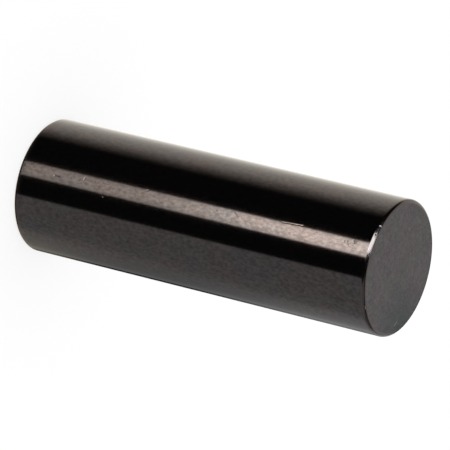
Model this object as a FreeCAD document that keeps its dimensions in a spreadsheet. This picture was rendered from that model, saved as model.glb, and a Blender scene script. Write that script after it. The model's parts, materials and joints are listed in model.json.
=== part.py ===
import FreeCAD, Part
import os

import Sketcher

# Pin gauge: one steel pin, hardened, then ground and lapped to the size that it checks.
#
# It is turned from a single bar, so it is a single solid: half of its lengthwise section, turned
# once round the axis. Both ends are faced square, and the edge of each is rounded, which keeps a
# burr off the bore under test and leads the pin into it.
#
# All lengths are in millimetres. The origin is the centre of the bottom end face, and +Z runs
# along the axis to the top end face, so the pin stands on its end.

OUTPUT_FOLDER = "parts"
SIZE_TOLERANCE = 1e-3

# alias in the sheet, value in mm, what it sizes
DRIVING_SIZES = (
    ("gauge_diameter", 17.145, "the size that the pin checks, 0.675 inch"),
    ("gauge_length", 50.8, "from end face to end face, 2 inches"),
    ("edge_radius", 0.5, "the rounding of the edge, on both ends"),
)

# how Sketcher numbers the two ends of a line, and the sketch's own origin point
START, END = 1, 2
ORIGIN_POINT = (-1, 1)


def add_sizes(document):
    """The sheet of driving dimensions, with a name, its value and what it sizes on each row."""
    sheet = document.addObject("Spreadsheet::Sheet", "Sizes")
    for row, (alias, value, meaning) in enumerate(DRIVING_SIZES, start=1):
        sheet.set(f"A{row}", alias)
        sheet.set(f"B{row}", str(value))
        sheet.set(f"C{row}", meaning)
        sheet.setAlias(f"B{row}", alias)
    document.recompute()
    return sheet


def origin_plane(body, role):
    """One of a body's own three origin planes, found by its role."""
    return next(feature for feature in body.Origin.OriginFeatures if feature.Role == role)


def add_dimension(sketch, name, kind, place, expression):
    """A named dimension of a sketch that follows the sheet."""
    value = float(sketch.evalExpression(expression))
    number = sketch.addConstraint(Sketcher.Constraint(kind, *place, value))
    sketch.renameConstraint(number, name)
    sketch.setExpression(f"Constraints.{name}", expression)


def draw_sharp_outline(sketch, sizes):
    """The half section with sharp corners, from the axis out to the ground side and back."""
    side = sizes.gauge_diameter / 2
    top = sizes.gauge_length
    corners = [FreeCAD.Vector(x, y, 0) for x, y in [(0, 0), (side, 0), (side, top), (0, top)]]
    lines = [
        sketch.addGeometry(Part.LineSegment(corner, following))
        for corner, following in zip(corners, corners[1:] + corners[:1])
    ]
    bottom_face, ground_side, top_face, axis = lines

    for line, following in zip(lines, lines[1:] + lines[:1]):
        sketch.addConstraint(Sketcher.Constraint("Coincident", line, END, following, START))
    sketch.addConstraint(Sketcher.Constraint("Coincident", bottom_face, START, *ORIGIN_POINT))
    for line in (bottom_face, top_face):
        sketch.addConstraint(Sketcher.Constraint("Horizontal", line))
    for line in (ground_side, axis):
        sketch.addConstraint(Sketcher.Constraint("Vertical", line))

    across_side = (*ORIGIN_POINT, ground_side, START)
    up_axis = (axis, END, axis, START)
    add_dimension(sketch, "SideRadius", "DistanceX", across_side, "Sizes.gauge_diameter / 2")
    add_dimension(sketch, "Length", "DistanceY", up_axis, "Sizes.gauge_length")
    return bottom_face, ground_side


def round_edges(sketch, lines, sizes):
    """Round the corner at each line's end. The sharp corners stay as the points that are dimensioned."""
    trim, keep_corner = True, True
    for line in lines:
        sketch.fillet(line, END, sizes.edge_radius, trim, keep_corner)
    bottom_arc, top_arc = [
        number for number, shape in enumerate(sketch.Geometry) if isinstance(shape, Part.ArcOfCircle)
    ]
    add_dimension(sketch, "EdgeRadius", "Radius", (bottom_arc,), "Sizes.edge_radius")
    sketch.addConstraint(Sketcher.Constraint("Equal", bottom_arc, top_arc))


def build_gauge_pin(document, sizes):
    """The pin: half of its section in the XZ plane, turned once round the axis."""
    body = document.addObject("PartDesign::Body", "GaugePin")
    body.Label = "gauge_pin"

    section = body.newObject("Sketcher::SketchObject", "HalfSection")
    section.AttachmentSupport = [(origin_plane(body, "XZ_Plane"), "")]
    section.MapMode = "FlatFace"
    lines_before_edges = draw_sharp_outline(section, sizes)
    round_edges(section, lines_before_edges, sizes)

    turning = body.newObject("PartDesign::Revolution", "Turning")
    turning.Profile = section
    turning.ReferenceAxis = (section, ["V_Axis"])
    turning.Angle = 360
    section.Visibility = False
    return body


def check_document(document, bodies):
    """Stop with a plain message if an object failed to compute or a body is no sound solid."""
    for item in document.Objects:
        if "Invalid" in item.State or "Error" in item.State:
            raise RuntimeError(f"{item.Name} did not compute: {item.State}")
    for body in bodies:
        shape = body.Shape
        if shape.isNull() or not shape.isValid() or len(shape.Solids) != 1:
            raise RuntimeError(f"{body.Label} is not one sound solid")


def exact_box(shape):
    """A shape's box without the slack that the quick BoundBox leaves round a turned corner."""
    use_triangles, use_tolerance = False, False
    return shape.optimalBoundingBox(use_triangles, use_tolerance)


def check_pin_size(body, sizes):
    """Stop if the finished pin measures anything but what the sheet says, or leaves its origin."""
    box = exact_box(body.Shape)
    found = (box.XLength, box.YLength, box.ZLength, box.ZMin)
    wanted = (sizes.gauge_diameter, sizes.gauge_diameter, sizes.gauge_length, 0)
    if max(abs(a - b) for a, b in zip(found, wanted)) > SIZE_TOLERANCE:
        raise RuntimeError(f"{body.Label} measures {found} in place of {wanted}")


def export_bodies(bodies):
    """One STEP file for each body, named by its label."""
    os.makedirs(OUTPUT_FOLDER, exist_ok=True)
    for body in bodies:
        body.Shape.exportStep(os.path.join(OUTPUT_FOLDER, body.Label + ".step"))
        box = exact_box(body.Shape)
        sides = f"{box.XLength:.3f} x {box.YLength:.3f} x {box.ZLength:.3f} mm"
        print(f"{body.Label}: {sides}, {body.Shape.Volume:.1f} cubic mm")


document = FreeCAD.newDocument("PinGauge")
sizes = add_sizes(document)
gauge_pin = build_gauge_pin(document, sizes)
document.recompute()
check_document(document, [gauge_pin])
check_pin_size(gauge_pin, sizes)
export_bodies([gauge_pin])
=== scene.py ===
# %% [markdown]
# # A pin gauge
#
# A pin gauge is the plainest measuring tool there is: a hardened steel pin, ground and lapped to
# one exact diameter. It is pushed into a hole, and if it goes in, the hole is at least that size.
# This one is 2 inches long and blackened, so almost all that the eye sees on it is a reflection.
#
# The file is a lesson in cells. It loads the measured solid as a frame, models the pin that is
# seen, gives it its finish, and builds the small studio that it stands in.

# %% Load the frame
import json
import math

import bmesh
import bpy
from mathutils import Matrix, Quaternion, Vector


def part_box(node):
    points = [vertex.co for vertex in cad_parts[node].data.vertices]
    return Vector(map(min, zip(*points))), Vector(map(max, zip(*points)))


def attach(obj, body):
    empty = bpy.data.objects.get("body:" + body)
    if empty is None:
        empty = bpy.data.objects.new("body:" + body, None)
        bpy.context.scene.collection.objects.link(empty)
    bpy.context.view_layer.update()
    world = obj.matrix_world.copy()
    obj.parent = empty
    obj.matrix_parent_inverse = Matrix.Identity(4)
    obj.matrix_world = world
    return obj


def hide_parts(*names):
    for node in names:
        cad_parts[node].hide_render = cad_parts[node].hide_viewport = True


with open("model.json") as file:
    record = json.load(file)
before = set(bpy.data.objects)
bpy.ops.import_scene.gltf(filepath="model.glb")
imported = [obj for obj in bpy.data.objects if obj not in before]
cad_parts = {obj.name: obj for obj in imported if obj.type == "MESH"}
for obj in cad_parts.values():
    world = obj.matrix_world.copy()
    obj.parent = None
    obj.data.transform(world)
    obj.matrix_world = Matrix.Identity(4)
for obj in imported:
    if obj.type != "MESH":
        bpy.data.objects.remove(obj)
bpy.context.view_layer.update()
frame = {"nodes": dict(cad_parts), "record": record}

print("nodes:", sorted(frame["nodes"]))

# %% [markdown]
# ## Sizes
#
# Everything is in metres, and the pin stands on its end with +Z along its axis. The diameter comes
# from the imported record, because the measured mesh is made of flats, and a flat falls a little short
# of the true circle. The record also says how long the plain ground part is. What is left over at
# each end is the rounded edge.

# %% Sizes
MM = 0.001
NODE = "gauge_pin"
ground_side = next(m for m in frame["record"]["mounts"] if m["name"] == "gauging_pin")["dims"]
bottom, top = (corner.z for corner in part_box(NODE))
LENGTH = top - bottom
RADIUS = ground_side["r_mm"] * MM
EDGE_RADIUS = (LENGTH - ground_side["length_mm"] * MM) / 2
print(f"pin: {2 * RADIUS / MM:.3f} mm across, {LENGTH / MM:.2f} mm long")
print(f"edges: rounded by {EDGE_RADIUS / MM:.2f} mm")

# %% [markdown]
# ## The bar
#
# The real pin starts as a piece of ground bar, and a cylinder is the honest start for it. The
# measured solid could be kept and only given a finish, but its mesh has too few flats for a lapped
# surface: a mirror finish shows each of them as a step in every reflection. So the pin is modelled
# again at the same size, with many more sides.

# %% The bar
SIDES = 256


def only(piece):
    """Make one object the only one selected, and the active one."""
    bpy.ops.object.select_all(action="DESELECT")
    piece.select_set(True)
    bpy.context.view_layer.objects.active = piece


bpy.ops.object.select_all(action="DESELECT")
bpy.ops.mesh.primitive_cylinder_add(
    vertices=SIDES, radius=RADIUS, depth=LENGTH, location=(0, 0, bottom + LENGTH / 2)
)
pin = bpy.context.object
pin.name = "lapped_pin"
pin.data.name = pin.name
bpy.ops.object.transform_apply(location=True, rotation=True, scale=True)
print("bar:", len(pin.data.vertices), "vertices")

# %% [markdown]
# ## Rounded edges
#
# Both ends are faced square, and then the edge is rounded off, so that it can't raise a burr in the
# hole under test. It could be left sharp and only shaded soft, but this narrow band turns through a
# quarter circle and mirrors the whole room on the way, so it is where the brightest glint sits. A
# bevel with several segments and a profile of a half is that quarter circle.

# %% Rounded edges
EDGE_SEGMENTS = 10
SHARP_ANGLE = math.radians(30)


def select(piece, kind, test):
    """In edit mode, select only the vertices, edges or faces that pass a test, and count them."""
    bpy.ops.mesh.select_mode(type={"verts": "VERT", "edges": "EDGE", "faces": "FACE"}[kind])
    bpy.ops.mesh.select_all(action="DESELECT")
    passed = [item for item in getattr(bmesh.from_edit_mesh(piece.data), kind) if test(item)]
    for item in passed:
        item.select_set(True)
    bmesh.update_edit_mesh(piece.data)
    return len(passed)


only(pin)
bpy.ops.object.mode_set(mode="EDIT")
sharp_edges = select(pin, "edges", lambda e: e.calc_face_angle() > SHARP_ANGLE)
bpy.ops.mesh.bevel(offset=EDGE_RADIUS, segments=EDGE_SEGMENTS, profile=0.5, affect="EDGES")
bpy.ops.object.mode_set(mode="OBJECT")
print("rounded edges:", sharp_edges, "edges bevelled")

# %% [markdown]
# ## Faces that can carry detail
#
# The side is still made of faces as long as the pin, and each end is one face with as many corners as
# the pin has sides. Cutting every long edge into short ones lays rings round the side. Insetting an
# end again and again lays rings on it, down to a small disc that is fanned to its centre.

# %% Rings along the side and over the ends
SIDE_RINGS = 80
END_RINGS = 20
LEVEL = 0.9999  # how far along Z a unit normal reaches on a level face
flat_radius = RADIUS - EDGE_RADIUS
ring_width = flat_radius / (END_RINGS + 1)

only(pin)
bpy.ops.object.mode_set(mode="EDIT")
long_edges = select(pin, "edges", lambda e: e.calc_length() > LENGTH / 2)
bpy.ops.mesh.subdivide(number_cuts=SIDE_RINGS - 1)
for way in (-1, 1):
    select(pin, "faces", lambda f: f.normal.z * way > LEVEL)
    for ring in range(END_RINGS):
        bpy.ops.mesh.inset(thickness=ring_width)
    bpy.ops.mesh.poke()
bpy.ops.object.mode_set(mode="OBJECT")
print("rings:", long_edges, "long edges cut,", len(pin.data.polygons), "faces")

# %% [markdown]
# ## Nicks and scratches
#
# A pin that has been used carries a few small nicks, from other pins in the drawer and from the rims
# of holes. They could be drawn in the finish, but a real dent turns the light in its own way from
# every side. So the faces along each mark are cut finer, and points are pressed in with the soft
# reach of proportional editing, as it would be done by hand.
#
# Places are given as a machinist would: so many degrees round from the front (-Y), towards -X. On the
# side, the second number is how many millimetres up. On the top end, it is how far out from the
# centre. On the top edge, it is how many degrees the surface has turned from facing up.

# %% Where the marks are
#   surface, from here, to there, mm wide, mm deep, what shows in it
# Marks whose last column is neither steel nor oxide get a near-black colour painted in their middles:
# painted shade for the dark that the dent mirrors.
MARKS = (
    ("edge", (31.0, 50.0), (31.0, 50.0), 0.42, 0.060, "painted_shade"),
    ("edge", (23.0, 57.0), (23.5, 53.0), 0.22, 0.030, "painted_shade"),
    ("edge", (-40.0, 24.0), (-42.5, 22.0), 0.24, 0.020, "steel"),
    ("end", (-114.0, 6.90), (-108.5, 7.30), 0.22, 0.012, "steel"),
    ("side", (-28.0, 30.6), (-28.0, 30.6), 0.20, 0.012, "steel"),
    ("side", (-40.0, 42.5), (-40.0, 42.5), 0.17, 0.010, "steel"),
    ("side", (0.0, 12.9), (0.0, 12.9), 0.16, 0.010, "steel"),
    ("side", (8.2, 5.4), (7.6, 6.2), 0.22, 0.020, "painted_shade"),
    ("side", (10.0, 9.6), (12.6, 9.7), 0.18, 0.010, "painted_shade"),
    ("side", (13.2, 31.3), (10.2, 32.0), 0.18, 0.006, "oxide"),
    ("side", (14.5, 38.2), (15.6, 41.0), 0.18, 0.006, "oxide"),
    ("side", (14.0, 18.8), (14.2, 18.9), 0.20, 0.010, "painted_shade"),
    ("side", (11.0, 28.9), (11.0, 28.9), 0.20, 0.010, "painted_shade"),
)
up = Vector((0, 0, 1))


def outward(degrees):
    """The level direction that points out from the axis, so many degrees round from the front."""
    return Vector((-math.sin(math.radians(degrees)), -math.cos(math.radians(degrees)), 0))


def point_on(surface, degrees, measure):
    """A point on the pin's surface, in metres, and the direction that faces out from it there."""
    if surface == "side":
        return outward(degrees) * RADIUS + up * (bottom + measure * MM), outward(degrees)
    if surface == "end":
        return outward(degrees) * measure * MM + up * top, up
    turned = math.radians(measure)
    facing = outward(degrees) * math.sin(turned) + up * math.cos(turned)
    return outward(degrees) * flat_radius + up * (top - EDGE_RADIUS) + facing * EDGE_RADIUS, facing


presses = []
for surface, start, end, width, depth, shows in MARKS:
    length = (point_on(surface, *start)[0] - point_on(surface, *end)[0]).length
    count = 1 + round(length / (width * MM / 2))
    for step in range(count):
        part = step / max(count - 1, 1)
        here = [a + (b - a) * part for a, b in zip(start, end)]
        presses.append((*point_on(surface, *here), width * MM, depth * MM, shows))
print("marks:", len(MARKS), "made by", len(presses), "presses")

# %% Cut finer faces round the marks
FINE_CUTS = 5
FINE_REACH = 0.45 * MM
SLACK = 1e-7


def true_up(piece):
    """In edit mode, put the points that a cut left on a flat back on the true circle or edge."""
    flat = RADIUS * math.cos(math.pi / SIDES) - SLACK
    for point in bmesh.from_edit_mesh(piece.data).verts:
        reach = point.co.xy.length
        out = reach - flat_radius
        past = max(bottom + EDGE_RADIUS - point.co.z, point.co.z - (top - EDGE_RADIUS), 0.0)
        if past == 0.0 and reach > flat:
            point.co.xy *= RADIUS / reach
        elif past > 0.0 and out > 0.0:
            grow = EDGE_RADIUS / math.hypot(out, past)
            point.co.xy *= (flat_radius + out * grow) / reach
            point.co.z += past * (grow - 1) * math.copysign(1, point.co.z - (bottom + top) / 2)
    bmesh.update_edit_mesh(piece.data)


def near_a_mark(face):
    """Whether a face lies so near a mark that it has to be cut finer."""
    middle = face.calc_center_median()
    return any((middle - place).length < FINE_REACH for place, facing, width, depth, shows in presses)


only(pin)
bpy.ops.object.mode_set(mode="EDIT")
cut_faces = select(pin, "faces", near_a_mark)
bpy.ops.mesh.subdivide(number_cuts=FINE_CUTS)
true_up(pin)
bpy.ops.object.mode_set(mode="OBJECT")
print("finer faces:", cut_faces, "cut, now", len(pin.data.polygons), "faces")

# %% Press the marks in
only(pin)
bpy.ops.object.mode_set(mode="EDIT")
for place, facing, width, depth, shows in presses:
    points = bmesh.from_edit_mesh(pin.data).verts
    nearest = min(points, key=lambda v: (v.co - place).length_squared).index
    select(pin, "verts", lambda v: v.index == nearest)
    bpy.ops.transform.translate(
        value=-facing * depth,
        use_proportional_edit=True,
        proportional_edit_falloff="SMOOTH",
        proportional_size=width / 2,
        use_proportional_connected=True,
    )
bpy.ops.object.mode_set(mode="OBJECT")
print("deepest press:", max(depth for *_, depth, shows in presses) / MM, "mm")

# %% [markdown]
# ## Smooth shading
#
# A lapped side has to reflect as one true cylinder, and a ground end as one true plane. Smooth shading
# does the first. The weighted normals modifier does the second: it lets the large faces decide which
# way the surface points where they meet the narrow faces of the rounded edge.

# %% Smooth shading
SMOOTH_ANGLE = math.radians(40)

only(pin)
bpy.ops.object.shade_smooth_by_angle(angle=SMOOTH_ANGLE)
weighting = pin.modifiers.new("true_planes", "WEIGHTED_NORMAL")
weighting.mode = "FACE_AREA"
weighting.weight = 100
weighting.keep_sharp = True
bpy.ops.object.modifier_apply(modifier=weighting.name)
print("pin:", sum(len(face.vertices) - 2 for face in pin.data.polygons), "triangles")

# %% [markdown]
# ## Helpers for the finish
#
# Colours are written as sRGB hex values, as a paint chart gives them, and one function turns them into
# the linear numbers that a shader works in. One more function adds a node, sets it and links it.

# %% Helpers for the finish
WHITE = "#ffffff"


def colour(hex_code):
    """An sRGB hex colour as the linear numbers that a shader wants."""
    parts = [int(hex_code[i : i + 2], 16) / 255 for i in (1, 3, 5)]
    return tuple(p / 12.92 if p <= 0.04045 else ((p + 0.055) / 1.055) ** 2.4 for p in parts) + (1.0,)


def add(tree, kind, inputs=None, **settings):
    """Add a node, set it, and give its inputs, named or numbered, a value, a hex colour or a link."""
    node = tree.nodes.new(kind)
    for name, value in settings.items():
        setattr(node, name, value)
    for name, value in (inputs or {}).items():
        socket = next(s for i, s in enumerate(node.inputs) if s.enabled and name in (i, s.name))
        if isinstance(value, bpy.types.Node):
            value = next(s for s in value.outputs if s.enabled)
        if isinstance(value, bpy.types.NodeSocket):
            tree.links.new(value, socket)
        else:
            socket.default_value = colour(value) if isinstance(value, str) else value
    return node


def new_material(name):
    """A material with an empty node tree."""
    material = bpy.data.materials.new(name)
    material.use_nodes = True
    material.node_tree.nodes.clear()
    return material, material.node_tree


# %% [markdown]
# ## Black oxide on the lapped side
#
# Black oxide isn't paint. The steel's own skin is turned into a thin dark oxide and then oiled, so the
# surface stays as smooth as the lap left it. It reflects only about a twentieth of the light that meets
# it head on, and far more at a glancing angle. A metal shader with a very dark colour does just that,
# where a dielectric with a sheen on top would look like plastic.
#
# The bath leaves it a little uneven, in soft clouds of warmer and cooler black a few millimetres wide.
# The lap leaves a fine mottle, drawn out along the pin. The real mottle is finer than what is drawn
# here, and is drawn this coarse so that it shows.

# %% The oxide's clouds and mottle
CLOUD_SIZE = 5.0
MOTTLE_SIZE = 0.35
WARM_BLACK = "#4a4342"
COOL_BLACK = "#474343"
DRAWN_OUT = (1.0, 1.0, 0.6)
MOTTLE_LEAST, MOTTLE_MOST = 0.70, 1.30
LAPPED_ROUGHNESS = 0.1

side_finish, tree = new_material("black_oxide_on_lapped_steel")
object_place = add(tree, "ShaderNodeTexCoord").outputs["Object"]
place = add(tree, "ShaderNodeMapping", {"Vector": object_place, "Scale": [1 / MM] * 3})
drawn_out = add(tree, "ShaderNodeMapping", {"Vector": place, "Scale": DRAWN_OUT})

clouds = add(tree, "ShaderNodeTexNoise", {"Vector": place, "Scale": 1 / CLOUD_SIZE})
clouds = add(tree, "ShaderNodeMapRange", {"Value": clouds, "From Min": 0.35, "From Max": 0.65})
tone = add(
    tree,
    "ShaderNodeMix",
    {"Factor": clouds, "A": WARM_BLACK, "B": COOL_BLACK},
    data_type="RGBA",
)
speckle = add(
    tree,
    "ShaderNodeTexNoise",
    {"Vector": drawn_out, "Scale": 1 / MOTTLE_SIZE, "Detail": 3.0, "Roughness": 0.6},
)
mottle = add(
    tree,
    "ShaderNodeMapRange",
    {
        "Value": speckle,
        "From Min": 0.3,
        "From Max": 0.7,
        "To Min": MOTTLE_LEAST,
        "To Max": MOTTLE_MOST,
    },
)
tone = add(
    tree,
    "ShaderNodeMix",
    {"Factor": 1.0, "A": tone, "B": mottle},
    data_type="RGBA",
    blend_type="MULTIPLY",
)
print("side finish: clouds of", CLOUD_SIZE, "mm, mottle of", MOTTLE_SIZE, "mm")

# %% [markdown]
# Two spots near the ends are stained, where old oil has dried in specks. A stain is a soft ball of
# space round a point of the side, and it lets the darkest parts of a fine noise through.

# %% Stains of dried oil
STAIN_COLOUR = "#1d1a1a"
SPECK_SIZE = 0.45
STAIN_STRENGTH = 0.8
#   degrees round, mm up, how far the stain reaches in mm
STAINS = ((11.0, 1.3, 1.5), (14.6, 47.8, 1.4))

specks = add(
    tree,
    "ShaderNodeTexNoise",
    {"Vector": place, "Scale": 1 / SPECK_SIZE, "Detail": 2.0, "Distortion": 1.0},
)
specks = add(tree, "ShaderNodeMapRange", {"Value": specks, "From Min": 0.54, "From Max": 0.64})
for degrees, measure, reach in STAINS:
    middle = point_on("side", degrees, measure)[0] / MM
    away = add(tree, "ShaderNodeVectorMath", {0: place, 1: middle}, operation="DISTANCE")
    fade = add(
        tree,
        "ShaderNodeMapRange",
        {
            "Value": away,
            "From Min": reach / 2,
            "From Max": reach,
            "To Min": STAIN_STRENGTH,
            "To Max": 0.0,
        },
    )
    stain = add(tree, "ShaderNodeMath", {0: specks, 1: fade}, operation="MULTIPLY")
    tone = add(
        tree,
        "ShaderNodeMix",
        {"Factor": stain, "A": tone, "B": STAIN_COLOUR},
        data_type="RGBA",
    )
print("stains:", len(STAINS))

# %% [markdown]
# A mirror shows scratches that are far too shallow to feel, because each one tips the reflection. They
# are drawn as relief. A hairline runs where a slow, drawn-out noise passes one level, which gives long
# thin curves that never quite repeat, and a second noise breaks them into pieces. Pits are the middles
# of a cell pattern. Real hairlines and pits are a few thousandths of a millimetre across. These are
# drawn many times as wide, so that they show, and shallow, so that they only tip the light a little.
# All heights are in millimetres.

# %% Hairlines, pits and lapping marks
HAIRLINE_SPACING = 2.2
HAIRLINE_STRETCH = (1.0, 1.0, 0.2)
HAIRLINE_DEPTH = 0.0007
HAIRLINE_BAND = 0.012  # how near the level the noise has to be
PIT_SPACING = 1.6
PIT_DEPTH = 0.0015
WAVE_HEIGHT = 0.0004

long_place = add(tree, "ShaderNodeMapping", {"Vector": place, "Scale": HAIRLINE_STRETCH})
level = add(
    tree,
    "ShaderNodeTexNoise",
    {"Vector": long_place, "Scale": 1 / HAIRLINE_SPACING, "Detail": 1.0, "Distortion": 0.1},
)
off_level = add(tree, "ShaderNodeMath", {0: level, 1: 0.5}, operation="SUBTRACT")
off_level = add(tree, "ShaderNodeMath", {0: off_level}, operation="ABSOLUTE")
hairlines = add(
    tree,
    "ShaderNodeMapRange",
    {"Value": off_level, "From Max": HAIRLINE_BAND, "To Min": HAIRLINE_DEPTH, "To Max": 0.0},
)
pieces = add(tree, "ShaderNodeTexNoise", {"Vector": place, "Scale": 1 / HAIRLINE_SPACING})
pieces = add(tree, "ShaderNodeMapRange", {"Value": pieces, "From Min": 0.42, "From Max": 0.56})
hairlines = add(tree, "ShaderNodeMath", {0: hairlines, 1: pieces}, operation="MULTIPLY")

cells = add(tree, "ShaderNodeTexVoronoi", {"Vector": place, "Scale": 1 / PIT_SPACING})
pits = add(
    tree,
    "ShaderNodeMapRange",
    {"Value": cells, "From Min": 0.03, "From Max": 0.08, "To Min": PIT_DEPTH, "To Max": 0.0},
)
waves = add(tree, "ShaderNodeMath", {0: speckle, 1: WAVE_HEIGHT}, operation="MULTIPLY")
height = add(tree, "ShaderNodeMath", {0: waves, 1: hairlines}, operation="SUBTRACT")
height = add(tree, "ShaderNodeMath", {0: height, 1: pits}, operation="SUBTRACT")
relief = add(tree, "ShaderNodeBump", {"Height": height, "Distance": MM})
shader = add(
    tree,
    "ShaderNodeBsdfPrincipled",
    {"Base Color": tone, "Metallic": 1.0, "Roughness": LAPPED_ROUGHNESS, "Normal": relief},
)
add(tree, "ShaderNodeOutputMaterial", {"Surface": shader})
print("side finish:", len(tree.nodes), "nodes")

# %% [markdown]
# ## Black oxide on the ground ends
#
# The ends are only ground, so they are the same black with a broader, duller reflection. The marks of
# the wheel are a grain of a few hundredths of a millimetre, drawn here at about a third of a
# millimetre so that it shows. A soft, greenish dark patch near one side of the edge is painted shade, in
# place of the darker reflection that the end shows there.

# %% Black oxide on the ground ends
GRAIN_SIZE = 0.3
PATCH_SIZE = 0.9
END_CLOUD_SIZE = 3.0
# Painted shade on the end: a greenish dark colour that fades out over this many millimetres round one
# point near the edge.
PAINTED_END_SHADE_COLOUR = "#2f3536"
PAINTED_END_SHADE_REACH = 6.8
WARM_GROUND = "#4a4244"
COOL_GROUND = "#464443"
GROUND_ROUGHNESS = 0.3

end_finish, tree = new_material("black_oxide_on_ground_steel")
object_place = add(tree, "ShaderNodeTexCoord").outputs["Object"]
place = add(tree, "ShaderNodeMapping", {"Vector": object_place, "Scale": [1 / MM] * 3})
clouds = add(tree, "ShaderNodeTexNoise", {"Vector": place, "Scale": 1 / END_CLOUD_SIZE})
clouds = add(tree, "ShaderNodeMapRange", {"Value": clouds, "From Min": 0.35, "From Max": 0.65})
tone = add(
    tree,
    "ShaderNodeMix",
    {"Factor": clouds, "A": WARM_GROUND, "B": COOL_GROUND},
    data_type="RGBA",
)
# Painted shade: round this point the end is darkened towards green, standing in for a darker reflection.
painted_end_shade_middle = point_on("end", -118.0, 8.2)[0] / MM
away = add(tree, "ShaderNodeVectorMath", {0: place, 1: painted_end_shade_middle}, operation="DISTANCE")
painted_end_shade = add(
    tree,
    "ShaderNodeMapRange",
    {"Value": away, "From Max": PAINTED_END_SHADE_REACH, "To Min": 1.0, "To Max": 0.0},
)
tone = add(
    tree,
    "ShaderNodeMix",
    {"Factor": painted_end_shade, "A": tone, "B": PAINTED_END_SHADE_COLOUR},
    data_type="RGBA",
)
for size, least, most in ((GRAIN_SIZE, 0.66, 1.34), (PATCH_SIZE, 0.84, 1.16)):
    grain = add(
        tree,
        "ShaderNodeTexNoise",
        {"Vector": place, "Scale": 1 / size, "Detail": 3.0, "Roughness": 0.6},
    )
    grain = add(
        tree,
        "ShaderNodeMapRange",
        {"Value": grain, "From Min": 0.3, "From Max": 0.7, "To Min": least, "To Max": most},
    )
    tone = add(
        tree,
        "ShaderNodeMix",
        {"Factor": 1.0, "A": tone, "B": grain},
        data_type="RGBA",
        blend_type="MULTIPLY",
    )
shader = add(
    tree,
    "ShaderNodeBsdfPrincipled",
    {"Base Color": tone, "Metallic": 1.0, "Roughness": GROUND_ROUGHNESS},
)
add(tree, "ShaderNodeOutputMaterial", {"Surface": shader})
print("end finish:", len(tree.nodes), "nodes")

# %% [markdown]
# ## Worn oxide on the rounded edges
#
# Handling polishes an edge first. The oxide there is thinner and smoother, and where it is thinnest, it
# turns from black to the brown of a straw-coloured steel. Bare steel shows only in the fresh nicks,
# already a little dull. The middles of the other nicks get a near-black, matt colour, which is painted
# shade for the dark that their dents mirror.

# %% Worn oxide, bare steel and painted shade
#   name, its two tones, roughness, metallic, size of the pattern in mm
EDGE_AND_NICK_FINISHES = (
    ("worn_black_oxide_on_edges", "#474243", "#50463c", 0.14, 1.0, 1.2),
    ("dull_bare_steel_in_nicks", "#8f8a84", "#6f6a64", 0.40, 1.0, 0.1),
    # The third finish is painted shade: a near-black, matt colour for the middles of the dark nicks.
    ("dried_oil_and_dirt_in_nicks", "#0e0d0c", "#1c1916", 0.60, 0.0, 0.1),
)
edge_and_nick_finishes = []
for name, first, second, roughness, metallic, size in EDGE_AND_NICK_FINISHES:
    edge_or_nick_finish, tree = new_material(name)
    object_place = add(tree, "ShaderNodeTexCoord").outputs["Object"]
    place = add(tree, "ShaderNodeMapping", {"Vector": object_place, "Scale": [1 / MM] * 3})
    patches = add(tree, "ShaderNodeTexNoise", {"Vector": place, "Scale": 1 / size, "Detail": 3.0})
    patches = add(tree, "ShaderNodeMapRange", {"Value": patches, "From Min": 0.45, "From Max": 0.75})
    tone = add(
        tree,
        "ShaderNodeMix",
        {"Factor": patches, "A": first, "B": second},
        data_type="RGBA",
    )
    shader = add(
        tree,
        "ShaderNodeBsdfPrincipled",
        {"Base Color": tone, "Metallic": metallic, "Roughness": roughness},
    )
    add(tree, "ShaderNodeOutputMaterial", {"Surface": shader})
    edge_and_nick_finishes.append(edge_or_nick_finish)
    print(name + ":", len(tree.nodes), "nodes")

# %% [markdown]
# ## Which face gets which finish
#
# On the real pin one bath blackens everything, and only the way a surface was cut differs. So each face
# takes its finish from where it is: on a flat end, on the rounded edge or on the side. The middle of a
# nick then takes what shows in it. A painted mask could do the same, but would have to be redrawn
# whenever a size changes.

# %% Put the finishes on
for pin_finish in (side_finish, end_finish, *edge_and_nick_finishes):
    pin.data.materials.append(pin_finish)
SIDE, END, EDGE, STEEL, PAINTED_NICK_SHADE = range(5)
# Steel marks show bare steel in their middles. The other named marks show painted shade there.
SHOWN = {"steel": STEEL, "painted_shade": PAINTED_NICK_SHADE}

for face in pin.data.polygons:
    past_end = max(bottom + EDGE_RADIUS - face.center.z, face.center.z - (top - EDGE_RADIUS))
    if face.center.xy.length < flat_radius:
        face.material_index = END
    elif past_end > 0:
        face.material_index = EDGE
    else:
        face.material_index = SIDE
    for place, facing, width, depth, shows in presses:
        if shows in SHOWN and (face.center - place).length < width / 4:
            face.material_index = SHOWN[shows]
chosen = [face.material_index for face in pin.data.polygons]
for number, pin_finish in enumerate(pin.data.materials):
    print(pin_finish.name + ":", chosen.count(number), "faces")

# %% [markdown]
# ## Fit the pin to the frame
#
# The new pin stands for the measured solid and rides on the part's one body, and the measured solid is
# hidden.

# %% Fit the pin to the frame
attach(pin, "root")
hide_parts(NODE)
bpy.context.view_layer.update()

# %% [markdown]
# ## The floor
#
# A matt board, far larger than the view. The board's own colour is only a mid grey, which keeps the pin's
# shadow on it faint. The camera's own rays get a little light added on top, which takes the board up to
# white. That added light falls on nothing else.
#
# The pin doesn't mirror this board. In a real studio, black card is laid round a mirror-black part, with
# strips of light let in between, and those cards are in the world below.

# %% Floor
FLOOR_HALF = 3.0
BOARD_COLOUR = "#8c8c8c"
ADDED_LIGHT = 0.76

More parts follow.
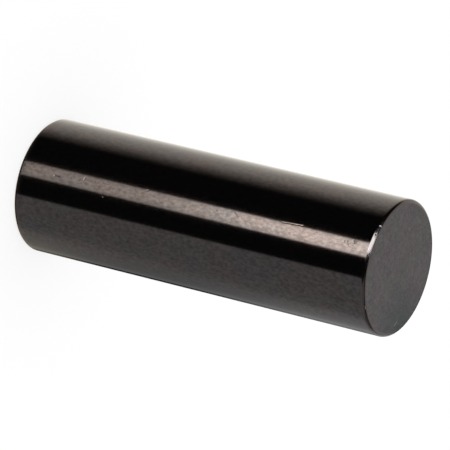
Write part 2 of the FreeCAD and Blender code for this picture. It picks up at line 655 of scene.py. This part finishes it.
bpy.ops.object.select_all(action="DESELECT")
bpy.ops.mesh.primitive_plane_add(size=2 * FLOOR_HALF, location=(0, 0, bottom))
floor = bpy.context.object
floor.name = "floor"
floor.visible_glossy = False
floor_finish, tree = new_material("matt_white_board")
board = add(tree, "ShaderNodeBsdfDiffuse", {"Color": BOARD_COLOUR})
added = add(tree, "ShaderNodeEmission", {"Color": WHITE, "Strength": ADDED_LIGHT})
both = add(tree, "ShaderNodeAddShader", {0: board, 1: added})
seen = add(tree, "ShaderNodeLightPath").outputs["Is Camera Ray"]
shader = add(tree, "ShaderNodeMixShader", {0: seen, 1: board, 2: both})
add(tree, "ShaderNodeOutputMaterial", {"Surface": shader})
floor.data.materials.append(floor_finish)
print("floor:", 2 * FLOOR_HALF, "m wide")

# %% [markdown]
# ## The studio that the pin mirrors
#
# A mirror has no look of its own: it shows the room. The room could be built from real panels, but
# they would have to be out of the picture at every angle. So it is drawn on the world, as cards with
# soft edges, each so many degrees round and so many degrees up, and only mirrors see them. All other
# rays see a plain white sky, which lights the board evenly.
#
# Looking down on the pin, its side mirrors what is 27 to 32 degrees below the horizon, and the azimuth
# turns twice as fast as the surface does. The rounded edge mirrors everything from there up to the
# zenith and down the far side.

# %% Which way a mirrored ray goes
world = bpy.data.worlds.new("studio")
bpy.context.scene.world = world
world.use_nodes = True
tree = world.node_tree
tree.nodes.clear()

direction = add(tree, "ShaderNodeTexCoord").outputs["Generated"]
axes = add(tree, "ShaderNodeSeparateXYZ", {"Vector": direction})
minus_x = add(tree, "ShaderNodeMath", {0: axes.outputs["X"], 1: -1.0}, operation="MULTIPLY")
minus_y = add(tree, "ShaderNodeMath", {0: axes.outputs["Y"], 1: -1.0}, operation="MULTIPLY")
round_angle = add(tree, "ShaderNodeMath", {0: minus_x, 1: minus_y}, operation="ARCTAN2")
round_angle = add(tree, "ShaderNodeMath", {0: round_angle}, operation="DEGREES")
up_angle = add(tree, "ShaderNodeMath", {0: axes.outputs["Z"]}, operation="ARCSINE")
up_angle = add(tree, "ShaderNodeMath", {0: up_angle}, operation="DEGREES")
print("world:", len(tree.nodes), "nodes so far")

# %% The cards
#   what it is, degrees round and how soft its two edges are, degrees up and the same, level, tint
CARDS = (
    ("side board, far part", (-154, -29.6, 8, 2), (-42, 3, 8, 6), 0.27, "#fbffff"),
    ("side board, near part", (-121, -29.6, 46, 2), (-42, 3, 8, 6), 0.39, "#fbffff"),
    ("side board, lit end", (-168, -108, 8, 16), (-28.2, 12, 2.6, 8), 0.30, "#ffffff"),
    ("backdrop", (96.5, 176, 38, 4), (-42, 0, 8, 26), 1.30, "#fffaef"),
    ("backdrop, upper part", (129, 173, 8, 6), (2, 22, 16, 6), 0.95, "#fffaef"),
    ("strip light", (5.4, 29.2, 1.6, 1.6), (-42, 3, 8, 6), 1.85, "#fffcf2"),
    ("strip light, bright end", (5.4, 29.2, 1.6, 1.6), (-29.1, 3, 0.8, 6), 4.4, "#fffcf2"),
    ("its tube", (10, 27, 12, 10), (-42, 3, 8, 6), 0.55, "#fffcf2"),
    ("its tube, bright end", (10, 27, 12, 10), (-29.1, 3, 0.8, 6), 1.5, "#fffcf2"),
    ("bench", (-180, 180, 1, 1), (-90, -36, 1, 6), 0.16, "#fff3e0"),
    ("brass lamp foot on it", (110, 250, 20, 20), (-62, -35, 8, 4), 0.40, "#ffdc96"),
    ("bench's near edge", (-170, -95, 8, 20), (-42, -31.2, 6, 1.6), 0.30, "#ffe9c0"),
    ("wall behind", (127, 222, 8, 10), (19, 80, 6, 8), 1.08, "#ffffff"),
    ("low side wall", (-98, -38, 8, 8), (-2, 64, 8, 8), 0.62, "#ffffff"),
    ("dim corner", (-128, -98, 8, 8), (0, 44, 8, 8), 0.36, "#ffffff"),
    ("board's upper edge", (-166, -128, 6, 8), (-10, 20, 8, 6), 0.55, "#ffffff"),
    ("window", (13, 45, 4, 3), (-8, 48, 8, 4), 14.0, "#f0f8ff"),
    ("skylight", (21, 60, 4, 8), (46, 68, 4, 3), 14.0, "#f0f8ff"),
    ("skylight's frame", (58, 78, 8, 8), (36, 66, 8, 6), 0.9, "#f0f8ff"),
    ("ceiling lamp", (56, 118, 6, 8), (69, 86, 3, 4), 11.0, "#f0f8ff"),
)
DARK_ROOM = 0.026

total = add(tree, "ShaderNodeCombineXYZ", {"X": DARK_ROOM, "Y": DARK_ROOM, "Z": DARK_ROOM})
for name, round_range, up_range, level, tint in CARDS:
    middle = (round_range[0] + round_range[1]) / 2
    from_middle = add(tree, "ShaderNodeMath", {0: round_angle, 1: middle}, operation="SUBTRACT")
    from_middle = add(
        tree, "ShaderNodeMath", {0: from_middle, 1: 180.0, 2: -180.0}, operation="WRAP"
    )
    light = [level * part for part in colour(tint)[:3]]
    for angle, (start, end, start_soft, end_soft), origin in (
        (from_middle, round_range, middle),
        (up_angle, up_range, 0.0),
    ):
        for side, soft, low, high in ((start, start_soft, 0.0, 1.0), (end, end_soft, 1.0, 0.0)):
            mask = add(
                tree,
                "ShaderNodeMapRange",
                {
                    "Value": angle,
                    "From Min": side - origin - soft / 2,
                    "From Max": side - origin + soft / 2,
                    "To Min": low,
                    "To Max": high,
                },
                interpolation_type="SMOOTHSTEP",
            )
            light = add(tree, "ShaderNodeVectorMath", {0: light, "Scale": mask}, operation="SCALE")
    total = add(tree, "ShaderNodeVectorMath", {0: total, 1: light}, operation="ADD")
print("cards:", len(CARDS))

# %% Show the cards to mirrors alone
studio = add(tree, "ShaderNodeBackground", {"Color": total})
plain = add(tree, "ShaderNodeBackground", {"Color": WHITE})
mirrored = add(tree, "ShaderNodeLightPath").outputs["Is Glossy Ray"]
sky = add(tree, "ShaderNodeMixShader", {0: mirrored, 1: plain, 2: studio})
add(tree, "ShaderNodeOutputWorld", {"Surface": sky})
print("world:", len(tree.nodes), "nodes")

# %% [markdown]
# ## The camera
#
# A long lens half a metre away, looking down on the pin by 29 degrees and rolled over, so that the
# standing pin lies across the picture.

# %% Camera
CAMERA_DISTANCE = 524.6 * MM
CAMERA_ELEVATION = math.radians(28.99)
CAMERA_ROLL = math.radians(103.57)
SENSOR = 36.0
FOCAL_LENGTH = 338.2
AIM_ASIDE = -0.19 * MM
AIM_ABOVE_MIDDLE = 0.51 * MM

aim = Vector((AIM_ASIDE, 0, bottom + LENGTH / 2 + AIM_ABOVE_MIDDLE))
back = Vector((0, -math.cos(CAMERA_ELEVATION), math.sin(CAMERA_ELEVATION)))
lens = bpy.data.cameras.new("long_lens")
lens.sensor_width = SENSOR
lens.lens = FOCAL_LENGTH
camera = bpy.data.objects.new("camera", lens)
bpy.context.scene.collection.objects.link(camera)
camera.location = aim + CAMERA_DISTANCE * back
camera.rotation_mode = "QUATERNION"
camera.rotation_quaternion = back.to_track_quat("Z", "Y") @ Quaternion((0, 0, 1), CAMERA_ROLL)
bpy.context.scene.camera = camera
bpy.context.scene.view_settings.view_transform = "Standard"
print("camera at mm:", [round(v / MM, 1) for v in camera.location])

# %% [markdown]
# ## Finish

# %% Finish
print("sizes written for", pin.name)
